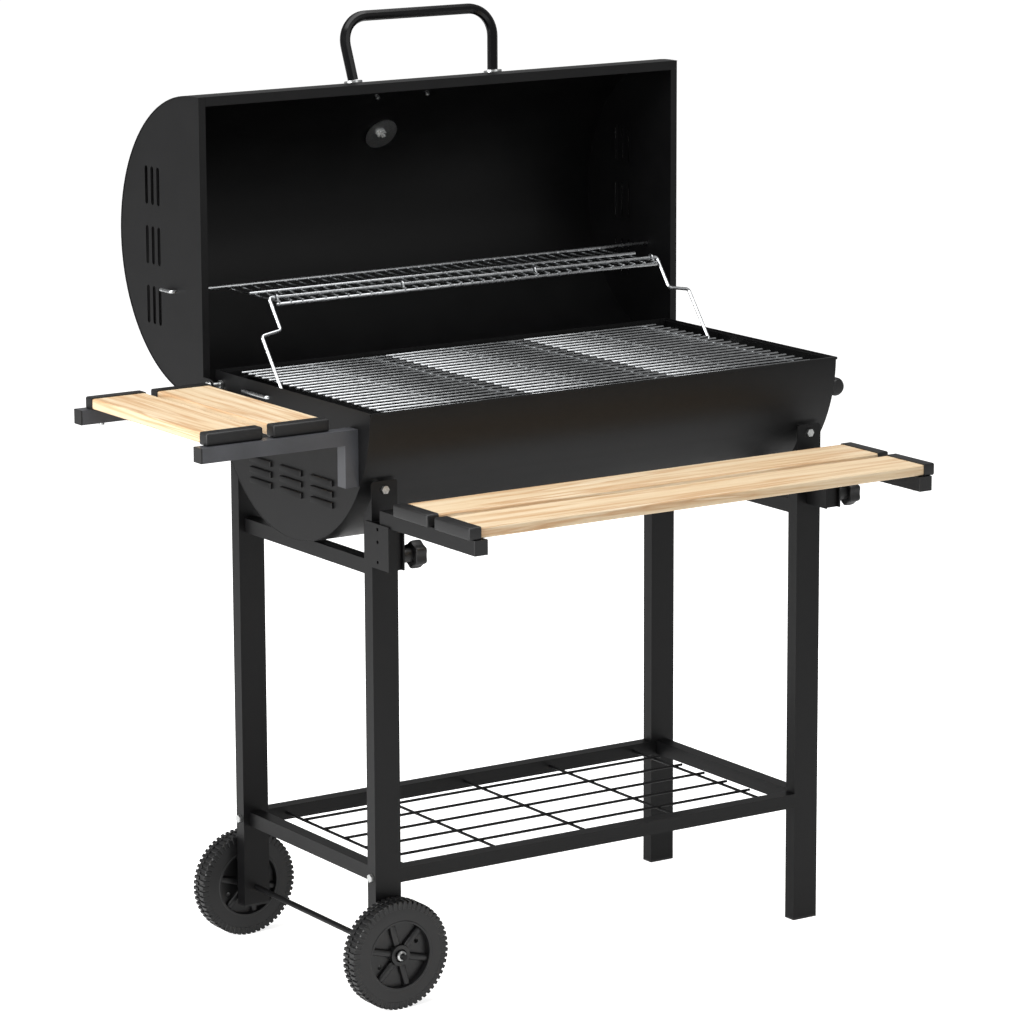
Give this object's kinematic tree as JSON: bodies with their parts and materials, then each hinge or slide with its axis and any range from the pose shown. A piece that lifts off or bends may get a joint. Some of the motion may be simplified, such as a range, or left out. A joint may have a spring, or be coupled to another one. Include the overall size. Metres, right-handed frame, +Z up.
{
  "type": "barrel charcoal grill",
  "caption": "Barrel charcoal grill on a wheeled stand: hinged half-barrel lid, wire grates, lid-linked warming rack, wooden side table, removable front bench, wire shelf",
  "frame": {"origin": "on the floor, under the middle of the whole grill's box with the lid open", "axes": "+X along the barrel to the right as seen from the front, +Y to the back, +Z up"},
  "size_m": [1.053, 0.8634, 1.2841],
  "materials": {
    "powder_coat": "dark charcoal powder coat, fine texture, satin",
    "silver_coat": "silver-grey powder coat, satin",
    "chrome_wire": "bright chrome-plated steel wire",
    "grate_enamel": "black enamelled steel rod, satin; the finish is a guess",
    "zinc_steel": "zinc-plated steel, light brushing",
    "oiled_wood": "pale softwood, clear oiled, visible grain",
    "black_plastic": "moulded black plastic, satin",
    "wheel_plastic": "moulded black plastic, slightly glossy tread",
    "dial_glass": "clear flat glass",
    "needle_red": "red painted pointer"
  },
  "bodies": {
    "stand": {"firebox_shell": "powder_coat", "firebox_end_left": "powder_coat", "firebox_end_right": "powder_coat", "grate_ledges": "powder_coat", "charcoal_grate_left": "grate_enamel", "charcoal_grate_right": "grate_enamel", "leg_front_left": "powder_coat", "leg_front_right": "powder_coat", "leg_back_left": "powder_coat", "leg_back_right": "powder_coat", "leg_plugs": "black_plastic", "upper_rail_left": "powder_coat", "upper_rail_right": "powder_coat", "shelf_rail_front": "powder_coat", "shelf_rail_back": "powder_coat", "shelf_rail_left": "powder_coat", "shelf_rail_right": "powder_coat", "shelf_grid": "powder_coat", "axle": "powder_coat", "axle_nuts": "zinc_steel", "frame_fasteners": "zinc_steel", "hinge_pins": "zinc_steel", "table_arm_front": "silver_coat", "table_arm_back": "silver_coat", "table_plank_outer": "oiled_wood", "table_plank_inner": "oiled_wood", "table_plank_caps": "black_plastic", "table_arm_plugs": "black_plastic", "table_screws": "zinc_steel", "bench_bracket_left": "powder_coat", "bench_bracket_right": "powder_coat", "carry_handle_grip": "black_plastic", "carry_handle_posts": "powder_coat"},
    "lid": {"lid_shell": "powder_coat", "lid_end_left": "powder_coat", "lid_end_right": "powder_coat", "lid_handle": "powder_coat", "lid_handle_feet": "zinc_steel", "lid_badge": "zinc_steel", "thermometer_case": "zinc_steel", "thermometer_lens": "dial_glass", "thermometer_back": "zinc_steel"},
    "needle": {"thermometer_needle": "needle_red"},
    "rack": {"warming_rack": "chrome_wire"},
    "bail": {"rack_bail": "chrome_wire"},
    "bench": {"bench_arm_left": "powder_coat", "bench_arm_right": "powder_coat", "bench_plank_front": "oiled_wood", "bench_plank_back": "oiled_wood", "bench_plank_caps": "black_plastic", "bench_arm_plugs": "black_plastic", "bench_screws": "zinc_steel"},
    "knob_left": {"star_knob_left": "black_plastic"},
    "knob_right": {"star_knob_right": "black_plastic"},
    "wheel_front_body": {"wheel_front": "wheel_plastic"},
    "wheel_back_body": {"wheel_back": "wheel_plastic"},
    "grate_left_body": {"cooking_grate_left": "chrome_wire"},
    "grate_middle_body": {"cooking_grate_middle": "chrome_wire"},
    "grate_right_body": {"cooking_grate_right": "chrome_wire"}
  },
  "joints": [
    {"name": "lid_hinge", "type": "hinge", "parent": "stand", "child": "lid", "pos_m": [0.0905, 0.18525, 0.794], "axis": [1, 0, 0], "range_deg": [0, 90]},
    {"name": "rack_pivot", "type": "hinge", "parent": "lid", "child": "rack", "pos_m": [0.0905, 0.27625, 0.913], "axis": [1, 0, 0], "range_deg": [-90, 0]},
    {"name": "bail_pivot", "type": "hinge", "parent": "stand", "child": "bail", "pos_m": [0.0905, 0.05825, 0.7946], "axis": [1, 0, 0], "range_deg": [0, 90]},
    {"name": "needle_turn", "type": "hinge", "parent": "lid", "child": "needle", "pos_m": [0.1015, 0.40425, 1.09751], "axis": [0, -0.8387, -0.5446], "range_deg": [0, 270]},
    {"name": "bench_lift", "type": "slide", "parent": "stand", "child": "bench", "axis": [0, 0, 1], "range_m": [0, 0.07]},
    {"name": "knob_left_turn", "type": "hinge", "parent": "stand", "child": "knob_left", "pos_m": [-0.2465, -0.21375, 0.62], "axis": [1, 0, 0], "continuous": true},
    {"name": "knob_right_turn", "type": "hinge", "parent": "stand", "child": "knob_right", "pos_m": [0.4705, -0.21375, 0.62], "axis": [1, 0, 0], "continuous": true},
    {"name": "wheel_front_spin", "type": "hinge", "parent": "stand", "child": "wheel_front_body", "pos_m": [-0.2585, -0.20175, 0.075], "axis": [0, 1, 0], "continuous": true},
    {"name": "wheel_back_spin", "type": "hinge", "parent": "stand", "child": "wheel_back_body", "pos_m": [-0.2585, 0.20225, 0.075], "axis": [0, 1, 0], "continuous": true},
    {"name": "grate_left_lift", "type": "slide", "parent": "stand", "child": "grate_left_body", "axis": [0, 0, 1], "range_m": [0, 0.03]},
    {"name": "grate_middle_lift", "type": "slide", "parent": "stand", "child": "grate_middle_body", "axis": [0, 0, 1], "range_m": [0, 0.03]},
    {"name": "grate_right_lift", "type": "slide", "parent": "stand", "child": "grate_right_body", "axis": [0, 0, 1], "range_m": [0, 0.03]}
  ],
  "couplings": [
    {"joint": "rack_pivot", "follows": "lid_hinge", "ratio": -1},
    {"joint": "bail_pivot", "follows": "lid_hinge", "ratio": 1}
  ]
}
